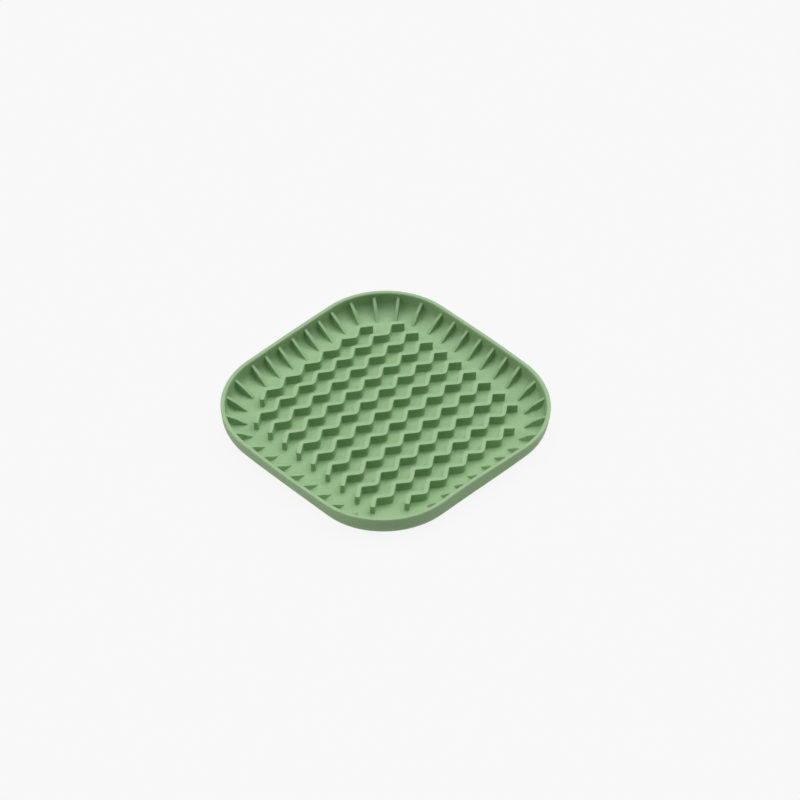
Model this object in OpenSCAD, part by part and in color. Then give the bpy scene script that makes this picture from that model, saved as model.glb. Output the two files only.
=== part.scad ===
// Shallow square lick bowl for a pet, one soft moulding told apart into its features.
// Millimetres. The origin is the middle of the underside, +Z is up and X runs along the ridges.

/* [Tray] */
// Width of the square tray over its rim
tray_side = 170; // [150:1:200]
// Radius of the tray's corners, seen from above
corner_r = 50; // [42:1:60]
// Height of the rim above the table
tray_h = 15; // [13:0.5:20]
// Thickness of the floor
floor_t = 2.7; // [1.5:0.1:3.4]
// Thickness of the wall
wall_t = 2.6; // [2:0.1:4]
// How far the rim stands out beyond the foot of the wall
rim_flare = 1.2; // [0:0.1:2.5]
// Radius of the two rounded edges of the rim
rim_round = 0.7; // [0.2:0.1:0.9]
// Radius of the hollow corner between the wall and the floor
cove_r = 7; // [5:0.5:9]

/* [Ridges] */
// Height of the ridges above the floor
ridge_h = 6.4; // [3:0.1:8]
// Thickness of a ridge
ridge_t = 2.8; // [1.8:0.1:3.4]
// Distance from one ridge to the next
ridge_pitch = 12.4; // [11:0.1:18]
// Length of one zigzag along a ridge
zig_length = 15.75; // [13:0.25:20]
// Angle of the zigzag to the ridge's own line
zig_angle = 36; // [25:1:40]
// Length of the straight stub at each end of a ridge
ridge_stub = 8.1; // [4:0.1:9]
// Least gap between the ridges and the tips of the ribs
field_gap = 3.1; // [2:0.1:8]

/* [Ribs] */
// Thickness of a rib
rib_t = 2; // [1.2:0.1:3]
// Distance from one rib to the next along a straight side, evened out to fill the side
rib_pitch = 11.2; // [8:0.1:16]
// Gap between the last rib of a row and the end of its straight side
rib_row_end = 0.4; // [0.2:0.1:4]
// Distance from the rim's outer edge to the tip of a rib
rib_reach = 15.5; // [13:0.1:20]
// Distance from the top of the rim down to the top of a rib
rib_drop = 2.8; // [1.5:0.1:5]
// Number of ribs in each corner fan
fan_ribs = 4; // [2:1:5]

/* [Hidden] */
// Largest turn between two points of a round stretch, in degrees
arc_turn = 9;
$fn = 96;
silicone = [0.55, 0.70, 0.50];

// The corners are arcs about centres that lie this far from the middle lines
corner_c = tray_side / 2 - corner_r;

// Lean of the wall from upright
lean = atan(rim_flare / tray_h);

// Centres of the rim's two rounded edges, as radii about a corner's centre and one height
lip_z = tray_h - rim_round;
lip_out_r = corner_r - rim_round;
lip_in_r = lip_out_r - (wall_t - 2 * rim_round) / cos(lean);

// Radii about a corner's centre: inner face of the wall at a height, foot of the cove, tip of a rib
function wall_in_r(z) = lip_in_r - rim_round / cos(lean) - (lip_z - z) * tan(lean);
cove_z = floor_t + cove_r;
foot_r = wall_in_r(cove_z) - cove_r / cos(lean);
tip_r = corner_r - rib_reach;

// The outer edge is rounded from the wall to the underside, right below the foot of the cove
base_round = ((lip_out_r - foot_r) * cos(lean) - lip_z * sin(lean) + rim_round) / (1 - sin(lean));

// Sideways step between the inside corners of a zigzag, and the full width of a ridge in plan
zig_step = zig_length / 2 * tan(zig_angle) - ridge_t / cos(zig_angle);
ridge_band = zig_step + 2 * ridge_t;

// The ridges fill a rounded square inside the tips of the ribs
field_r = tip_r - field_gap;
field_half = corner_c + field_r;
ridge_rows = floor((2 * field_half - ridge_band) / ridge_pitch) + 1;

// Distance from the first rib of a row to its last, and the number of gaps between its ribs
row_length = 2 * (corner_c - rib_row_end) - rib_t;
row_gaps = round(row_length / rib_pitch);

sides = ["right", "back", "left", "front"];
corners = ["back_right", "back_left", "front_left", "front_right"];

// Points of an arc about a centre, from one angle to another
function arc(centre, r, from, to) =
    let (steps = ceil(abs(to - from) / arc_turn))
    [for (i = [0 : steps]) let (a = from + (to - from) * i / steps) centre + r * [cos(a), sin(a)]];

// Whether a point in plan lies in the rounded square of the ridges
function in_field(p) =
    norm([max(abs(p.x) - corner_c, 0), max(abs(p.y) - corner_c, 0)]) <= field_r;

// Row 1 is at the back; its inside front corners lie on this line
function row_y(row) = ((ridge_rows + 1) / 2 - row) * ridge_pitch + zig_step / 2;

// Inside corners of a row, numbered from the middle: front ones on peaks, back ones in valleys
function peak(k, y) = [(k - 0.5) * zig_length, y];
function valley(k, y) = [k * zig_length, y - zig_step];

// Front and back corner of the square end of a stub that runs down from a peak
along = [cos(zig_angle), -sin(zig_angle)];
across = [sin(zig_angle), cos(zig_angle)];
function stub_front(k, y, l) = peak(k, y) + l * along;
function stub_back(k, y, l) = stub_front(k, y, l) + ridge_t * across;
function stub_fits(k, y, l) = in_field(stub_front(k, y, l)) && in_field(stub_back(k, y, l));

// Peaks on each half of a row: the last one has room for itself and a stub as long as it is thick
function half_peaks(y) =
    max([for (k = [1 : ceil(field_half / zig_length)])
        if (in_field(peak(k, y) + [0, ridge_t]) && stub_fits(k, y, ridge_t)) k]);

// Longest stub, up to ridge_stub, that stays in the field
stub_step = 0.1;
function stub_length(k, y) =
    max([for (l = [ridge_t : stub_step : ridge_stub]) if (stub_fits(k, y, l)) l]);

// Right half of a ridge, from the middle valley to the stub and back along its other edge
function right_half(y) =
    let (n = half_peaks(y), l = stub_length(n, y))
    concat(
        arc(valley(0, y), ridge_t, -90, zig_angle - 90),
        [for (k = [1 : n])
            each concat([peak(k, y)],
                k < n ? arc(valley(k, y), ridge_t, -90 - zig_angle, zig_angle - 90) : [])],
        [stub_front(n, y, l), stub_back(n, y, l)],
        [for (k = [n : -1 : 1])
            each concat(arc(peak(k, y), ridge_t, 90 - zig_angle, 90 + zig_angle), [valley(k - 1, y)])]
    );

// Cross-section of the wall about a corner's centre, with the cove on its inner side
module wall_section() {
    polygon(concat(
        arc([foot_r, base_round], base_round, -90, -lean),
        arc([lip_out_r, lip_z], rim_round, -lean, 90),
        arc([lip_in_r, lip_z], rim_round, 90, 180 - lean),
        arc([foot_r, cove_z], cove_r, -lean, -90)
    ));
}

// Rounded square in plan whose corners have the tray's corner centres
module corner_square(r) {
    square(2 * corner_c, center = true);
    for (a = [0 : 90 : 270])
        rotate(a) {
            translate(corner_c * [1, -1])
                square([r, 2 * corner_c]);
            translate(corner_c * [1, 1])
                circle(r);
        }
}

// Flat sheet of the floor, out to the foot of the wall
module floor_pan() {
    color(silicone)
        linear_extrude(floor_t)
            corner_square(foot_r);
}

// Straight side of the wall, with its rim, cove and rounded outer edge; the first side is the right one
module wall_side(side) {
    color(silicone)
        rotate(90 * side)
            rotate([90, 0, 0])
                linear_extrude(2 * corner_c, center = true)
                    translate([corner_c, 0])
                        wall_section();
}

// Rounded corner of the wall; the first corner is the back right one
module wall_corner(corner) {
    color(silicone)
        rotate(90 * corner)
            translate(corner_c * [1, 1])
                rotate_extrude(angle = 90)
                    wall_section();
}

// Zigzag ridge, standing on the floor
module ridge(row) {
    half = right_half(row_y(row));
    mirrored = [for (i = [len(half) - 1 : -1 : 0]) [-half[i].x, half[i].y]];
    color(silicone)
        translate([0, 0, floor_t])
            linear_extrude(ridge_h)
                polygon(concat(half, mirrored));
}

// Rib pointing out along X from a corner's centre, reaching half-way into the wall until it is trimmed
module rib_blank() {
    top_z = tray_h - rib_drop;
    top_r = wall_in_r(top_z);
    slope = (top_z - floor_t) / (top_r - tip_r);
    end_r = top_r + wall_t / 2;
    mid_r = cove_r + wall_t / 2;
    rotate([90, 0, 0])
        linear_extrude(rib_t, center = true)
            polygon(concat(
                [[tip_r, floor_t]],
                arc([foot_r, cove_z], mid_r, -asin(cove_r / mid_r), -lean),
                [[end_r, floor_t + slope * (end_r - tip_r)]]
            ));
}

// Row of ribs on one straight side, centred on the side
module rib_row(side) {
    color(silicone)
        difference() {
            rotate(90 * side)
                for (i = [0 : row_gaps])
                    translate([corner_c, row_length * (i / row_gaps - 0.5), 0])
                        rib_blank();
            wall_side(side);
        }
}

// Fan of ribs in one corner, about the corner's centre
module rib_fan(corner) {
    color(silicone)
        difference() {
            rotate(90 * corner)
                translate(corner_c * [1, 1])
                    for (i = [1 : fan_ribs])
                        rotate(90 * i / (fan_ribs + 1))
                            rib_blank();
            wall_corner(corner);
        }
}

floor_pan();
for (i = [0 : 3])
    wall_side(i);
for (i = [0 : 3])
    wall_corner(i);
for (i = [1 : ridge_rows])
    ridge(i);
for (i = [0 : 3])
    rib_row(i);
for (i = [0 : 3])
    rib_fan(i);
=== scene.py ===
"""Pet lick bowl: a shallow rounded-square moulding of matte green silicone.

Zigzag ridges stand on its floor and sloping ribs line its wall. Points are worked out in
millimetres, in the frame's axes, and become metres when a piece is made. Angles are in degrees.
"""
import math
from collections import namedtuple

import bmesh
import bpy
from mathutils import Matrix, Vector


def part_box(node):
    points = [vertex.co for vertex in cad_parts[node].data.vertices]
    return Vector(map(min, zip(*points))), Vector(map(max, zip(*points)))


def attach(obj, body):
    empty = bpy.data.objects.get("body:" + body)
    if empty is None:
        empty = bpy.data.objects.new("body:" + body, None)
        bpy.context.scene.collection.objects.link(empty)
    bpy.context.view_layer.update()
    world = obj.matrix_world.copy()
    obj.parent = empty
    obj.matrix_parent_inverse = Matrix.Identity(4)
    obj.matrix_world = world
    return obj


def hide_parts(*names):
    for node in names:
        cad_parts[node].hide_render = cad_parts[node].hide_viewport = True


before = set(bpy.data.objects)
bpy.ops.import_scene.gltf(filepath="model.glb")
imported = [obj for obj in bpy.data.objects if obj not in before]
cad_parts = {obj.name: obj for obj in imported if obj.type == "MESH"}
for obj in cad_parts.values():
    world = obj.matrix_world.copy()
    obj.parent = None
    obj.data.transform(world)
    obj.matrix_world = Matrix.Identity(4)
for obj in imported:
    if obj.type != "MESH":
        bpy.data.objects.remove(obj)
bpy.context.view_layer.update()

MM = 0.001
SIDES = ("right", "back", "left", "front")
CORNERS = ("back_right", "back_left", "front_left", "front_right")


def high(node):
    """Upper corner of a solid's box, in millimetres."""
    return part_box(node)[1] / MM


# Tray, taken from the solids where their boxes show it; radii are about a corner's centre
corner_c = high("wall_right").y
corner_r = high("wall_right").x - corner_c
tray_h = high("wall_right").z
floor_t = high("floor_pan").z
base_r = high("floor_pan").x - corner_c
wall_t = 2.6
rim_flare = 1.2
rim_in_round = 1.1
rim_out_round = 0.5
cove_r = 6.3

# Lean of the wall, distances of its two faces, square to them, foot of the cove, and rounding
# from the outer face to the underside
lean = math.degrees(math.atan(rim_flare / tray_h))
cos_lean, sin_lean = math.cos(math.radians(lean)), math.sin(math.radians(lean))
face_out = ((corner_r - rim_out_round) * cos_lean
            - (tray_h - rim_out_round) * sin_lean + rim_out_round)
face_in = face_out - wall_t
cove_z = floor_t + cove_r
foot_r = (face_in - cove_r + cove_z * sin_lean) / cos_lean
base_round = (face_out - base_r * cos_lean) / (1 - sin_lean)

# Soft set of the wall: inward depth of each push at the rim and at the table, its angle in plan
# and its width, beyond which it swells the other way and fades
Push = namedtuple("Push", "at_rim at_table angle width")
pushes = (
    Push(at_rim=2.5, at_table=0.75, angle=238.0, width=37.0),
    Push(at_rim=0.3, at_table=-0.8, angle=275.0, width=30.0),
    Push(at_rim=-0.4, at_table=-0.1, angle=85.0, width=30.0),
    Push(at_rim=0.4, at_table=0.4, angle=186.0, width=16.0),
)
push_fade = 6.0

# Soft set of the front right corner: how far it is drawn aside, the distances from the middle
# at which that starts and is full, and the width over which it fades to either side
drawn = Vector((-1.6, -0.5, 0.0))
drawn_start = 60.0
drawn_full = 90.0
drawn_width = 60.0

# Soft set of the floor: bowed up about one place in plan, to a wide radius, and slightly twisted
bow_rise = 0.9
bow_r = 1385.0
bow_place = Vector((-13.8, 10.4))
bow_twist = 0.000092
least_floor = 0.05

# Radius from which, out to the foot of the wall, the floor's set fades and the wall's grows
fade_r = 34.5

# Zigzag ridges, and how far the soft floor has spread and shifted them
ridge_rows = 11
ridge_t = 2.8
zig_length = 15.75
zig_angle = 36.0
ridge_edge = 0.35
ridge_foot = 0.5
ridge_draft = 0.08
bend_r = 0.6
end_r = 0.45
ridge_spread = Vector((1.008, 0.996))
ridge_shift = Vector((-0.1, -0.08))
back_ridge_shift = Vector((-0.1, -0.63))

# Sloping ribs; each set is turned a little about the bowl's middle, all alike but for those named
rib_t = 2.0
rib_reach = 16.6
rib_drop = 3.2
rib_turn = -0.35
rib_turns = {"left": 0.3, "back_left": 0.35, "back_right": -0.1}
row_ribs = 7
row_half = high("rib_row_right").y - rib_t / 2
fan_ribs = 4
fan_step = 18.7
rib_edge = 0.3
rib_foot = 0.4

# Most of a rib's own height that its edge and its foot fillet may take, near its low tip
edge_share = 0.5
foot_share = 0.4

# Depth to which ridges and ribs run into the floor, and ribs into the wall
sink = 0.06
rib_end = wall_t / 3

# Steps of the meshes along round and straight stretches, and rings of the floor as shares of it
cove_steps = 14
lip_in_steps = 6
lip_out_steps = 5
wall_steps = 3
side_steps = 20
corner_steps = 24
floor_rings = (0.2, 0.4, 0.6, 0.8, 0.96)
bend_steps = 6
end_steps = 4
ridge_edge_steps = 4
ridge_face_steps = 3
rib_steps = 18
rib_edge_steps = 4
rib_foot_steps = 3
rib_face_steps = 2


def arc(centre, radius, start, end, steps):
    """Points of an arc in its own plane, between two angles."""
    angles = [math.radians(start + (end - start) * i / steps) for i in range(steps + 1)]
    return [Vector((centre[0] + radius * math.cos(a), centre[1] + radius * math.sin(a)))
            for a in angles]


def between(a, b, steps):
    """Points strictly between two points."""
    return [a.lerp(b, i / steps) for i in range(1, steps)]


def share_of(value, start, full):
    """Share, from 0 to 1, of the way from a start to a full value."""
    return min(max((value - start) / (full - start), 0), 1)


def eased(share):
    """Share with a soft start and a soft end."""
    return share * share * (3 - 2 * share)


def loft(loops):
    """Points of equal closed loops, and the quads that join each loop to the next."""
    n = len(loops[0])
    points = [p for loop in loops for p in loop]
    faces = [(a * n + i, a * n + (i + 1) % n, (a + 1) * n + (i + 1) % n, (a + 1) * n + i)
             for a in range(len(loops) - 1) for i in range(n)]
    return points, faces


def silicone_piece(name, points, faces, edge, material, nodes):
    """Smooth piece that stands for its solids; edge is each point's share of a rounded edge."""
    mesh = bpy.data.meshes.new(name)
    mesh.from_pydata([p * MM for p in points], [], faces)
    bm = bmesh.new()
    bm.from_mesh(mesh)
    bmesh.ops.recalc_face_normals(bm, faces=bm.faces)
    for face in bm.faces:
        face.smooth = True
    bm.to_mesh(mesh)
    bm.free()
    mesh.attributes.new("edge", "FLOAT", "POINT").data.foreach_set("value", edge)
    mesh.materials.append(material)
    obj = bpy.data.objects.new(name, mesh)
    bpy.context.scene.collection.objects.link(obj)
    obj.modifiers.new("even_normals", "WEIGHTED_NORMAL")
    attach(obj, "root")
    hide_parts(*nodes)


# Soft set

def outward(p):
    """Way out to the wall from the nearest point of the square of the corners' centres."""
    x, y = (v - min(max(v, -corner_c), corner_c) for v in p.xy)
    return Vector((x, y, 0))


def near_wall(p):
    """Share that grows from 0 over the floor's middle to 1 at the foot of the wall."""
    return share_of(outward(p).length, fade_r, foot_r)


def settled(p):
    """Point after the soft wall has settled out of true and one corner has been drawn aside."""
    moved = 0
    for push in pushes:
        turn = (math.degrees(math.atan2(p.y, p.x)) - push.angle + 180) % 360 - 180
        away = (turn / push.width) ** 2
        depth = push.at_table + (push.at_rim - push.at_table) * p.z / tray_h
        moved += depth * (1 - away) * math.exp(-away ** 2 / push_fade)

    # Distances from the middle towards the front right corner, and aside from that line
    out, aside = (p.x - p.y) / math.sqrt(2), (p.x + p.y) / math.sqrt(2)
    share = eased(share_of(out, drawn_start, drawn_full))
    share *= math.exp(-(aside / drawn_width) ** 2)
    return p - outward(p).normalized() * moved * near_wall(p) + drawn * share


def bowed(p):
    """Point after the soft floor, with what stands on it, has bowed up; the wall stays."""
    away = p.xy - bow_place
    lean_away = (away * (p.z - floor_t) / bow_r).to_3d()
    rise = bow_rise - away.length_squared / (2 * bow_r) + bow_twist * p.x * p.y
    moved = p + (lean_away + Vector((0, 0, rise))) * (1 - near_wall(p))
    moved.z = max(moved.z, least_floor)
    return moved


# Shell: floor and wall

def at_face(face, z):
    """Radius, at a height, of a line that runs along the wall at the given distance."""
    return (face + z * sin_lean) / cos_lean


def wall_profile():
    """Radius and height of points up the inner side and down the outer side, with edge shares."""
    in_z, out_z = tray_h - rim_in_round, tray_h - rim_out_round
    in_r, out_r = at_face(face_in + rim_in_round, in_z), at_face(face_out - rim_out_round, out_z)
    cove = arc((foot_r, cove_z), cove_r, -90, -lean, cove_steps)
    lip_in = arc((in_r, in_z), rim_in_round, 180 - lean, 90, lip_in_steps)
    lip_out = arc((out_r, out_z), rim_out_round, 90, -lean, lip_out_steps)
    base = arc((base_r, base_round), base_round, -lean, -90, cove_steps)
    inner_face = between(cove[-1], lip_in[0], wall_steps)
    outer_face = between(lip_out[-1], base[0], wall_steps)
    inner = [(p, 0.0) for p in cove + inner_face] + [(p, 1.0) for p in lip_in]
    outer = [(p, 1.0) for p in lip_out] + [(p, 0.0) for p in outer_face + base]
    return inner, outer


def tray_stations():
    """Spine point and outward direction of each station round the tray."""
    stations = []
    for quarter in range(4):
        turn = Matrix.Rotation(math.radians(90 * quarter), 2)
        for i in range(side_steps):
            spine = Vector((corner_c, corner_c * (2 * i / side_steps - 1)))
            stations.append((turn @ spine, turn @ Vector((1, 0))))
        for i in range(corner_steps):
            a = math.radians(90 * i / corner_steps)
            out = Vector((math.cos(a), math.sin(a)))
            stations.append((turn @ Vector((corner_c, corner_c)), turn @ out))
    return stations


def shell(material):
    """Floor and wall as one skin, from the middle of the floor over the rim to the underside."""
    stations = tray_stations()
    inner, outer = wall_profile()

    def round_tray(p):
        return [(spine + out * p.x).to_3d() + Vector((0, 0, p.y)) for spine, out in stations]

    def rings(p):
        return [[Vector((q.x * s, q.y * s, q.z)) for q in round_tray(p)] for s in floor_rings]

    top = rings(inner[0][0]) + [round_tray(p) for p, _ in inner]
    top = [[bowed(p) for p in loop] for loop in top]
    under = [round_tray(p) for p, _ in outer] + rings(outer[-1][0])[::-1]
    flat = [0.0] * len(floor_rings)
    shares = flat + [share for _, share in inner + outer] + flat
    points, faces = loft(top + under)
    n, last = len(stations), len(points) - len(stations)
    edge = [share for share in shares for _ in range(n)] + [0.0, 0.0]
    middles = [bowed(Vector((0, 0, floor_t))), Vector((0, 0, 0))]
    points = [settled(p) for p in points] + middles
    faces += [(i, (i + 1) % n, len(points) - 2) for i in range(n)]
    faces += [(last + i, last + (i + 1) % n, len(points) - 1) for i in range(n)]
    nodes = ["floor_pan"] + ["wall_" + s for s in SIDES] + ["wall_corner_" + c for c in CORNERS]
    silicone_piece("bowl_shell", points, faces, edge, material, nodes)


# Zigzag ridges

def ridge_stations(row):
    """Front point and front-to-back direction of each station along a ridge, from left to right."""
    slope = math.radians(zig_angle)
    front_y = high(f"ridge_{row}").y - ridge_t
    back_y = front_y - (zig_length / 2 * math.tan(slope) - ridge_t / math.cos(slope))
    reach = high(f"ridge_{row}").x
    half_peaks = math.floor(reach / zig_length + 0.5)
    shift = bend_r / math.cos(slope)
    turns = arc((0, 0), 1, 90 + zig_angle, 90 - zig_angle, bend_steps)
    stations = []
    for i in range(1 - 2 * half_peaks, 2 * half_peaks):
        x = i * zig_length / 2
        if i % 2 == 1:
            peak = Vector((x, front_y - shift))
            stations += [(peak + u * bend_r, u) for u in turns]
        else:
            valley = Vector((x, back_y + shift))
            stations += [(valley - u * (bend_r + ridge_t), u) for u in reversed(turns)]
    last_peak = Vector(((half_peaks - 0.5) * zig_length, front_y))
    along = Vector((math.cos(slope), -math.sin(slope)))
    stub = (reach - last_peak.x - ridge_t * math.sin(slope)) / along.x - end_r
    right_end = last_peak + along * stub
    stations.append((right_end, Vector((-along.y, along.x))))
    stations.insert(0, (Vector((-right_end.x, right_end.y)), Vector((along.y, along.x))))
    return stations


def ridge_outline(stations):
    """Outline of a ridge with outward directions: front, right end, back and left end."""
    quarter = [math.radians(90 * i / end_steps) for i in range(end_steps + 1)]

    def end(front, u, along):
        near = [along * math.sin(a) - u * math.cos(a) for a in quarter]
        far = [along * math.cos(a) + u * math.sin(a) for a in quarter]
        outline = [(front + u * end_r + end_r * way, way) for way in near]
        outline += [(front + u * (ridge_t - end_r) + end_r * way, way) for way in far]
        return outline[1:-1]

    front = [(f, -u) for f, u in stations]
    back = [(f + u * ridge_t, u) for f, u in stations]
    f, u = stations[-1]
    right = end(f, u, Vector((u.y, -u.x)))
    f, u = stations[0]
    left = end(f, u, Vector((-u.y, u.x)))
    return front + right + back[::-1] + left[::-1]


def ridge(row, material):
    """One zigzag ridge, lofted up from below the floor to its flat top."""
    stations = ridge_stations(row)
    outline = ridge_outline(stations)
    top_z = high(f"ridge_{row}").z
    shift = back_ridge_shift if row == 1 else ridge_shift
    foot = arc((ridge_foot, floor_t + ridge_foot), ridge_foot, 270, 180, ridge_edge_steps)
    crown = arc((-ridge_edge, top_z - ridge_edge), ridge_edge, 0, 90, ridge_edge_steps)
    face = between(foot[-1], crown[0], ridge_face_steps)
    plain = [Vector((ridge_foot, floor_t - sink))] + foot + face
    levels = [(p, 0.0) for p in plain] + [(p, 1.0) for p in crown]
    loops = []
    for p, _ in levels:
        lean_out = ridge_draft * (top_z - p.y) / (top_z - floor_t)
        loop = [q + way * (p.x + lean_out) for q, way in outline]
        loops.append([(q * ridge_spread + shift).to_3d() + Vector((0, 0, p.y)) for q in loop])
    points, faces = loft([[settled(bowed(p)) for p in loop] for loop in loops])
    edge = [share for _, share in levels for _ in outline]

    # The underside and the top are strips of quads between front and back, and a face at each end
    n, m = len(stations), len(outline)
    cap = (m - 2 * n) // 2
    for start in (0, len(points) - m):
        back = [start + n + cap + (n - 1 - i) for i in range(n)]
        faces += [(start + i, start + i + 1, back[i + 1], back[i]) for i in range(n - 1)]
        faces.append(tuple(range(start + n - 1, start + n + cap + 1)))
        faces.append(tuple(range(start + 2 * n + cap - 1, start + m)) + (start,))
    silicone_piece(f"zigzag_ridge_{row}", points, faces, edge, material, [f"ridge_{row}"])


# Sloping ribs

def rib():
    """Points, faces and edge shares of one rib that points out along X from its corner's centre."""
    def ground(r):
        reach = min(max(r - foot_r, 0), cove_r * cos_lean)
        return cove_z - math.sqrt(cove_r ** 2 - reach ** 2)

    tip = corner_r - rib_reach
    top_z = tray_h - rib_drop
    top_r = at_face(face_in, top_z)
    slope = (top_z - floor_t) / (top_r - tip)
    cove_end = foot_r + cove_r * cos_lean
    places = [tip + (cove_end - tip) * i / rib_steps for i in range(rib_steps + 1)]
    loops, edge = [], []
    for r in places + [top_r + rib_end]:
        low_z, tall = ground(r), slope * (r - tip) + floor_t - ground(r)
        foot, crown = min(rib_foot, foot_share * tall), min(rib_edge, edge_share * tall)
        side_top = Vector((rib_t / 2, low_z + tall - crown))
        side = [Vector((rib_t / 2 + foot, low_z - sink))]
        side += arc((rib_t / 2 + foot, low_z + foot), foot, 270, 180, rib_foot_steps)
        side += between(side[-1], side_top, rib_face_steps)
        top = arc((rib_t / 2 - crown, side_top.y), crown, 0, 90, rib_edge_steps)
        half = side + top
        ring = half + [Vector((-p.x, p.y)) for p in reversed(half)]
        loops.append([Vector((r, p.x, p.y)) for p in ring])
        shares = [0.0] * len(side) + [1.0] * len(top)
        edge += shares + shares[::-1]
    points, faces = loft(loops)
    n = len(loops[0])
    faces += [tuple(range(n)), tuple(range(len(points) - n, len(points)))]
    return points, faces, edge


def rib_set(name, node, places, material):
    """Copies of one rib at the given places, as one piece."""
    shape, quads, shares = rib()
    points, faces, edge = [], [], []
    for place in places:
        faces += [tuple(i + len(points) for i in quad) for quad in quads]
        points += [settled(bowed(place @ p)) for p in shape]
        edge += shares
    silicone_piece(name, points, faces, edge, material, [node])


def ribs(material):
    """A row of ribs on each straight side and a fan in each corner."""
    def turned(angle):
        return Matrix.Rotation(math.radians(angle), 4, "Z")

    along = [row_half * (2 * k / (row_ribs - 1) - 1) for k in range(row_ribs)]
    fan = [45 + fan_step * (k - (fan_ribs - 1) / 2) for k in range(fan_ribs)]
    for i, side in enumerate(SIDES):
        turn = turned(90 * i + rib_turns.get(side, rib_turn))
        places = [turn @ Matrix.Translation((corner_c, y, 0)) for y in along]
        rib_set("wall_ribs_" + side, "rib_row_" + side, places, material)
    for i, corner in enumerate(CORNERS):
        turn = turned(90 * i + rib_turns.get(corner, rib_turn))
        centre = turn @ Matrix.Translation((corner_c, corner_c, 0))
        places = [centre @ turned(angle) for angle in fan]
        rib_set("corner_ribs_" + corner, "rib_fan_" + corner, places, material)


# Materials

def rgb(r, g, b):
    """Scene colour of a screen colour given in 0 to 255, by the sRGB curve."""
    def linear(v):
        v /= 255
        return v / 12.92 if v <= 0.04045 else ((v + 0.055) / 1.055) ** 2.4
    return (linear(r), linear(g), linear(b), 1.0)


def add(tree, kind, inputs=None, **settings):
    """New node with its settings and inputs; an input may be a value or another node's output."""
    node = tree.nodes.new("ShaderNode" + kind)
    for name, value in settings.items():
        setattr(node, name, value)
    for name, value in (inputs or {}).items():
        if isinstance(value, bpy.types.NodeSocket):
            tree.links.new(value, node.inputs[name])
        else:
            node.inputs[name].default_value = value
    return node


def maths(tree, operation, *values, clamp=False):
    """Result of a Math node."""
    node = add(tree, "Math", dict(enumerate(values)), operation=operation, use_clamp=clamp)
    return node.outputs[0]


def mapped(tree, value, least, most, to_least=0.0, to_most=1.0):
    """Value moved from one range to another, and kept inside it."""
    ends = {"From Min": least, "From Max": most, "To Min": to_least, "To Max": to_most}
    return add(tree, "MapRange", {"Value": value, **ends}).outputs[0]


def noise(tree, place, scale, detail, roughness=0.5):
    """Value of a noise texture."""
    inputs = {"Vector": place, "Scale": scale, "Detail": detail, "Roughness": roughness}
    return add(tree, "TexNoise", inputs).outputs[0]


def blend(tree, share, first, second):
    """Colour that goes from the first to the second with a share."""
    # A Mix node's share, two colours and result are found by number, as its names repeat
    return add(tree, "Mix", {0: share, 6: first, 7: second}, data_type="RGBA").outputs[2]


def group_tree(name, inputs, outputs):
    """Empty shader node group with named sockets, and its two end nodes."""
    tree = bpy.data.node_groups.new(name, "ShaderNodeTree")
    for socket in inputs:
        tree.interface.new_socket(socket, in_out="INPUT", socket_type="NodeSocketFloat")
    for socket in outputs:
        tree.interface.new_socket(socket, in_out="OUTPUT", socket_type="NodeSocketFloat")
    return tree, tree.nodes.new("NodeGroupInput"), tree.nodes.new("NodeGroupOutput")


# Range of a noise that counts, and share of the slow swell beside the fine grain in the relief
noise_low, noise_high = 0.3, 0.7
swell_share = 1.6

# Lint: bend of its threads in metres, and least and varying width of a speck in its cell
lint_bend_scale = 900.0
lint_bend = (0.0012, 0.0012, 0.0012)
lint_least = 0.03
lint_more = 0.05


def moulded_skin_group():
    """Slow drift and fine mottle of the pigment, patchy gloss and the fine grain of the mould."""
    scales = ("Drift Scale", "Mottle Scale", "Gloss Scale", "Swell Scale", "Grain Scale")
    made = ("Drift", "Mottle", "Gloss", "Height")
    tree, values, result = group_tree("moulded_skin", scales, made)
    place = add(tree, "TexCoord").outputs["Object"]
    drift = noise(tree, place, values.outputs["Drift Scale"], detail=5.0, roughness=0.6)
    mottle = noise(tree, place, values.outputs["Mottle Scale"], detail=2.0, roughness=0.6)
    gloss = noise(tree, place, values.outputs["Gloss Scale"], detail=3.0)
    swell = noise(tree, place, values.outputs["Swell Scale"], detail=2.0)
    grain = noise(tree, place, values.outputs["Grain Scale"], detail=2.0)
    for name, value in (("Drift", drift), ("Mottle", mottle), ("Gloss", gloss)):
        tree.links.new(mapped(tree, value, noise_low, noise_high), result.inputs[name])
    height = maths(tree, "MULTIPLY_ADD", swell, swell_share, grain)
    tree.links.new(height, result.inputs["Height"])
    return tree


def lint_group():
    """Sparse specks of lint that cling to silicone."""
    tree, values, result = group_tree("clinging_lint", ("Scale", "Share"), ("Speck",))
    place = add(tree, "TexCoord").outputs["Object"]
    bend = add(tree, "TexNoise", {"Vector": place, "Scale": lint_bend_scale}).outputs["Color"]
    bent = add(tree, "VectorMath", {0: bend, 1: lint_bend, 2: place}, operation="MULTIPLY_ADD")
    inputs = {"Vector": bent.outputs[0], "Scale": values.outputs["Scale"]}
    cells = add(tree, "TexVoronoi", inputs).outputs
    lot = add(tree, "SeparateColor", {"Color": cells["Color"]}).outputs
    chosen = maths(tree, "LESS_THAN", lot["Red"], values.outputs["Share"])
    width = maths(tree, "MULTIPLY_ADD", lot["Green"], lint_more, lint_least)
    spot = mapped(tree, cells["Distance"], width, 0.0)
    tree.links.new(maths(tree, "MULTIPLY", spot, chosen), result.inputs["Speck"])
    return tree


# Silicone: sizes of the skin's noises and of the lint's cells, as counts to a metre
skin_scales = {"Drift Scale": 40.0, "Mottle Scale": 650.0, "Gloss Scale": 170.0,
               "Swell Scale": 320.0, "Grain Scale": 3000.0}
lint_cells = {"Scale": 110.0, "Share": 0.35}

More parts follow.
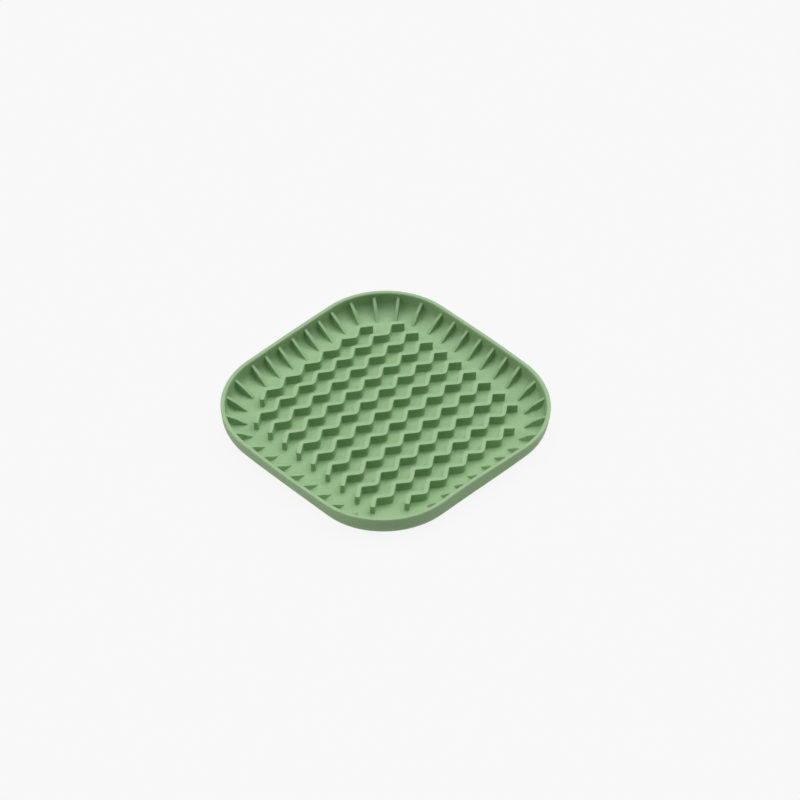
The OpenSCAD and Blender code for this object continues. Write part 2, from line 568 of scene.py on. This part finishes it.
# Painted light and shade: how much of the lit green upright and level faces get, which slopes count
# as such, and what varies that at random
upright_painted_light, level_painted_light = 0.3, 0.7
upright, level = 0.1, 0.9
drift_share = 0.06
mottle_share = 0.13

# How much of the edge colour, worn and with a painted highlight, a rounded edge has and of the
# lint's colour a speck, and the finish
worn_and_highlit_edge_share = 0.8
lint_share = 0.5
lint_colour = (0.05, 0.08, 0.04, 1.0)
gloss_change = 0.05
skin_bump = 0.25
skin_depth = 0.00005
silicone_ior = 1.41


def silicone(name, skin, lint, darker_and_shaded_green, paler_and_lit_green, worn_and_highlit_edge_green, roughness):
    """Matte silicone: painted light on level faces, painted shade on upright ones, mottled, rounded
    edges paler from wear and a painted highlight, with a little lint.
    """
    material = bpy.data.materials.new(name)
    material.use_nodes = True
    tree = material.node_tree
    shader = tree.nodes["Principled BSDF"]
    skin = add(tree, "Group", skin_scales, node_tree=skin).outputs
    lint = add(tree, "Group", lint_cells, node_tree=lint).outputs
    normal = add(tree, "TexCoord").outputs["Normal"]
    facing = add(tree, "SeparateXYZ", {0: normal}).outputs["Z"]
    # Painted light and shade: level faces get more of the lit green and upright faces more of the
    # shaded green, by slope alone
    painted_light_by_slope = mapped(tree, facing, upright, level, upright_painted_light, level_painted_light)
    drift = mapped(tree, skin["Drift"], 0.0, 1.0, -drift_share, drift_share)
    mottle = mapped(tree, skin["Mottle"], 0.0, 1.0, -mottle_share, mottle_share)
    uneven = maths(tree, "ADD", drift, mottle)
    lit_and_paler_share = maths(tree, "ADD", painted_light_by_slope, uneven, clamp=True)
    edge = add(tree, "Attribute", attribute_name="edge").outputs["Fac"]
    colour = blend(tree, lit_and_paler_share, darker_and_shaded_green, paler_and_lit_green)
    # Rounded edges turn towards the edge colour: part wear, part painted highlight
    colour = blend(tree, maths(tree, "MULTIPLY", edge, worn_and_highlit_edge_share), colour, worn_and_highlit_edge_green)
    speck = maths(tree, "MULTIPLY", lint["Speck"], lint_share)
    colour = blend(tree, speck, colour, lint_colour)
    tree.links.new(colour, shader.inputs["Base Color"])
    glossy, dull = roughness - gloss_change, roughness + gloss_change
    rough = mapped(tree, skin["Gloss"], 0.0, 1.0, glossy, dull)
    tree.links.new(rough, shader.inputs["Roughness"])
    relief = {"Height": skin["Height"], "Strength": skin_bump, "Distance": skin_depth}
    tree.links.new(add(tree, "Bump", relief).outputs[0], shader.inputs["Normal"])
    shader.inputs["IOR"].default_value = silicone_ior
    return material


# Studio, in metres, apart from the camera's sensor and lens, which are in millimetres
background = rgb(250, 250, 250)
floor_shade = rgb(228, 228, 228)
shadow_share = 0.06
ambient = 0.07
floor_half = 3.0
floor_gap = 0.0001
sensor_width = 36.0


def background_mask(tree):
    """1 for rays that show the background: those of the camera, of gloss and of glass."""
    path = add(tree, "LightPath").outputs
    glossy = maths(tree, "MAXIMUM", path["Is Camera Ray"], path["Is Glossy Ray"])
    return maths(tree, "MAXIMUM", glossy, path["Is Transmission Ray"])


def studio_floor():
    """Pale floor that shows the background's colour and a little of the bowl's shadow."""
    mesh = bpy.data.meshes.new("studio_floor")
    h = floor_half
    mesh.from_pydata([(-h, -h, 0), (h, -h, 0), (h, h, 0), (-h, h, 0)], [], [(0, 1, 2, 3)])
    material = bpy.data.materials.new("pale_floor")
    material.use_nodes = True
    tree = material.node_tree
    shader = tree.nodes["Principled BSDF"]
    shader.inputs["Base Color"].default_value = floor_shade
    shader.inputs["Roughness"].default_value = 1.0
    shader.inputs["Specular IOR Level"].default_value = 0.0
    glow = add(tree, "Emission", {"Color": background, "Strength": 1.0})
    share = maths(tree, "MULTIPLY", background_mask(tree), 1 - shadow_share)
    mix = add(tree, "MixShader", {0: share, 1: shader.outputs[0], 2: glow.outputs[0]})
    tree.links.new(mix.outputs[0], tree.nodes["Material Output"].inputs["Surface"])
    mesh.materials.append(material)
    floor = bpy.data.objects.new("studio_floor", mesh)
    floor.location.z = -floor_gap
    bpy.context.scene.collection.objects.link(floor)


def studio_world():
    """Plain background, and a faint light from all round."""
    world = bpy.data.worlds.new("studio_world")
    bpy.context.scene.world = world
    world.use_nodes = True
    tree = world.node_tree
    tree.nodes.clear()
    seen = add(tree, "Background", {"Color": background, "Strength": 1.0})
    fill = add(tree, "Background", {"Color": (1, 1, 1, 1), "Strength": ambient})
    mix = add(tree, "MixShader", {0: background_mask(tree), 1: fill.outputs[0], 2: seen.outputs[0]})
    add(tree, "OutputWorld", {"Surface": mix.outputs[0]})


def softbox(toward, strength, spread):
    """Overhead light that shines from the given direction."""
    light = bpy.data.lights.new("softbox", "SUN")
    light.energy = strength
    light.angle = math.radians(spread)
    lamp = bpy.data.objects.new("softbox", light)
    lamp.rotation_euler = Vector(toward).to_track_quat("Z", "Y").to_euler()
    bpy.context.scene.collection.objects.link(lamp)


def camera(azimuth, elevation, distance, lens, aside, above):
    """Camera that looks at a point a little aside from and above the middle of the rim."""
    az, el = math.radians(azimuth), math.radians(elevation)
    back = Vector((math.sin(az) * math.cos(el), -math.cos(az) * math.cos(el), math.sin(el)))
    right = Vector((math.cos(az), math.sin(az), 0))
    middle = Vector((0, 0, tray_h * MM))
    place = middle + back * distance
    target = middle + right * aside + back.cross(right) * above
    data = bpy.data.cameras.new("camera")
    data.lens = lens
    data.sensor_width = sensor_width
    obj = bpy.data.objects.new("camera", data)
    obj.location = place
    obj.rotation_euler = (place - target).to_track_quat("Z", "Y").to_euler()
    bpy.context.scene.collection.objects.link(obj)
    bpy.context.scene.camera = obj


# Painted light and shade: the first green is what upright faces lean to and the second what level
# faces lean to, besides the random tone
green = silicone("green_silicone", moulded_skin_group(), lint_group(), darker_and_shaded_green=rgb(145, 176.5, 130),
                 # Edge colour: worn bloom with a painted highlight on rounded edges
                 paler_and_lit_green=rgb(165, 201.5, 153), worn_and_highlit_edge_green=rgb(159, 193, 146), roughness=0.55)
shell(green)
for row in range(1, ridge_rows + 1):
    ridge(row, green)
ribs(green)

studio_floor()
studio_world()
softbox(toward=(0.29, 0.14, 1.0), strength=1.70, spread=60)
softbox(toward=(-1.06, 0.88, 1.0), strength=0.87, spread=50)
softbox(toward=(1.25, -0.57, 1.0), strength=0.81, spread=50)
camera(azimuth=-44.67, elevation=44.57, distance=1.53, lens=114.54, aside=0.0086, above=0.0006)
bpy.context.scene.view_settings.view_transform = "Standard"
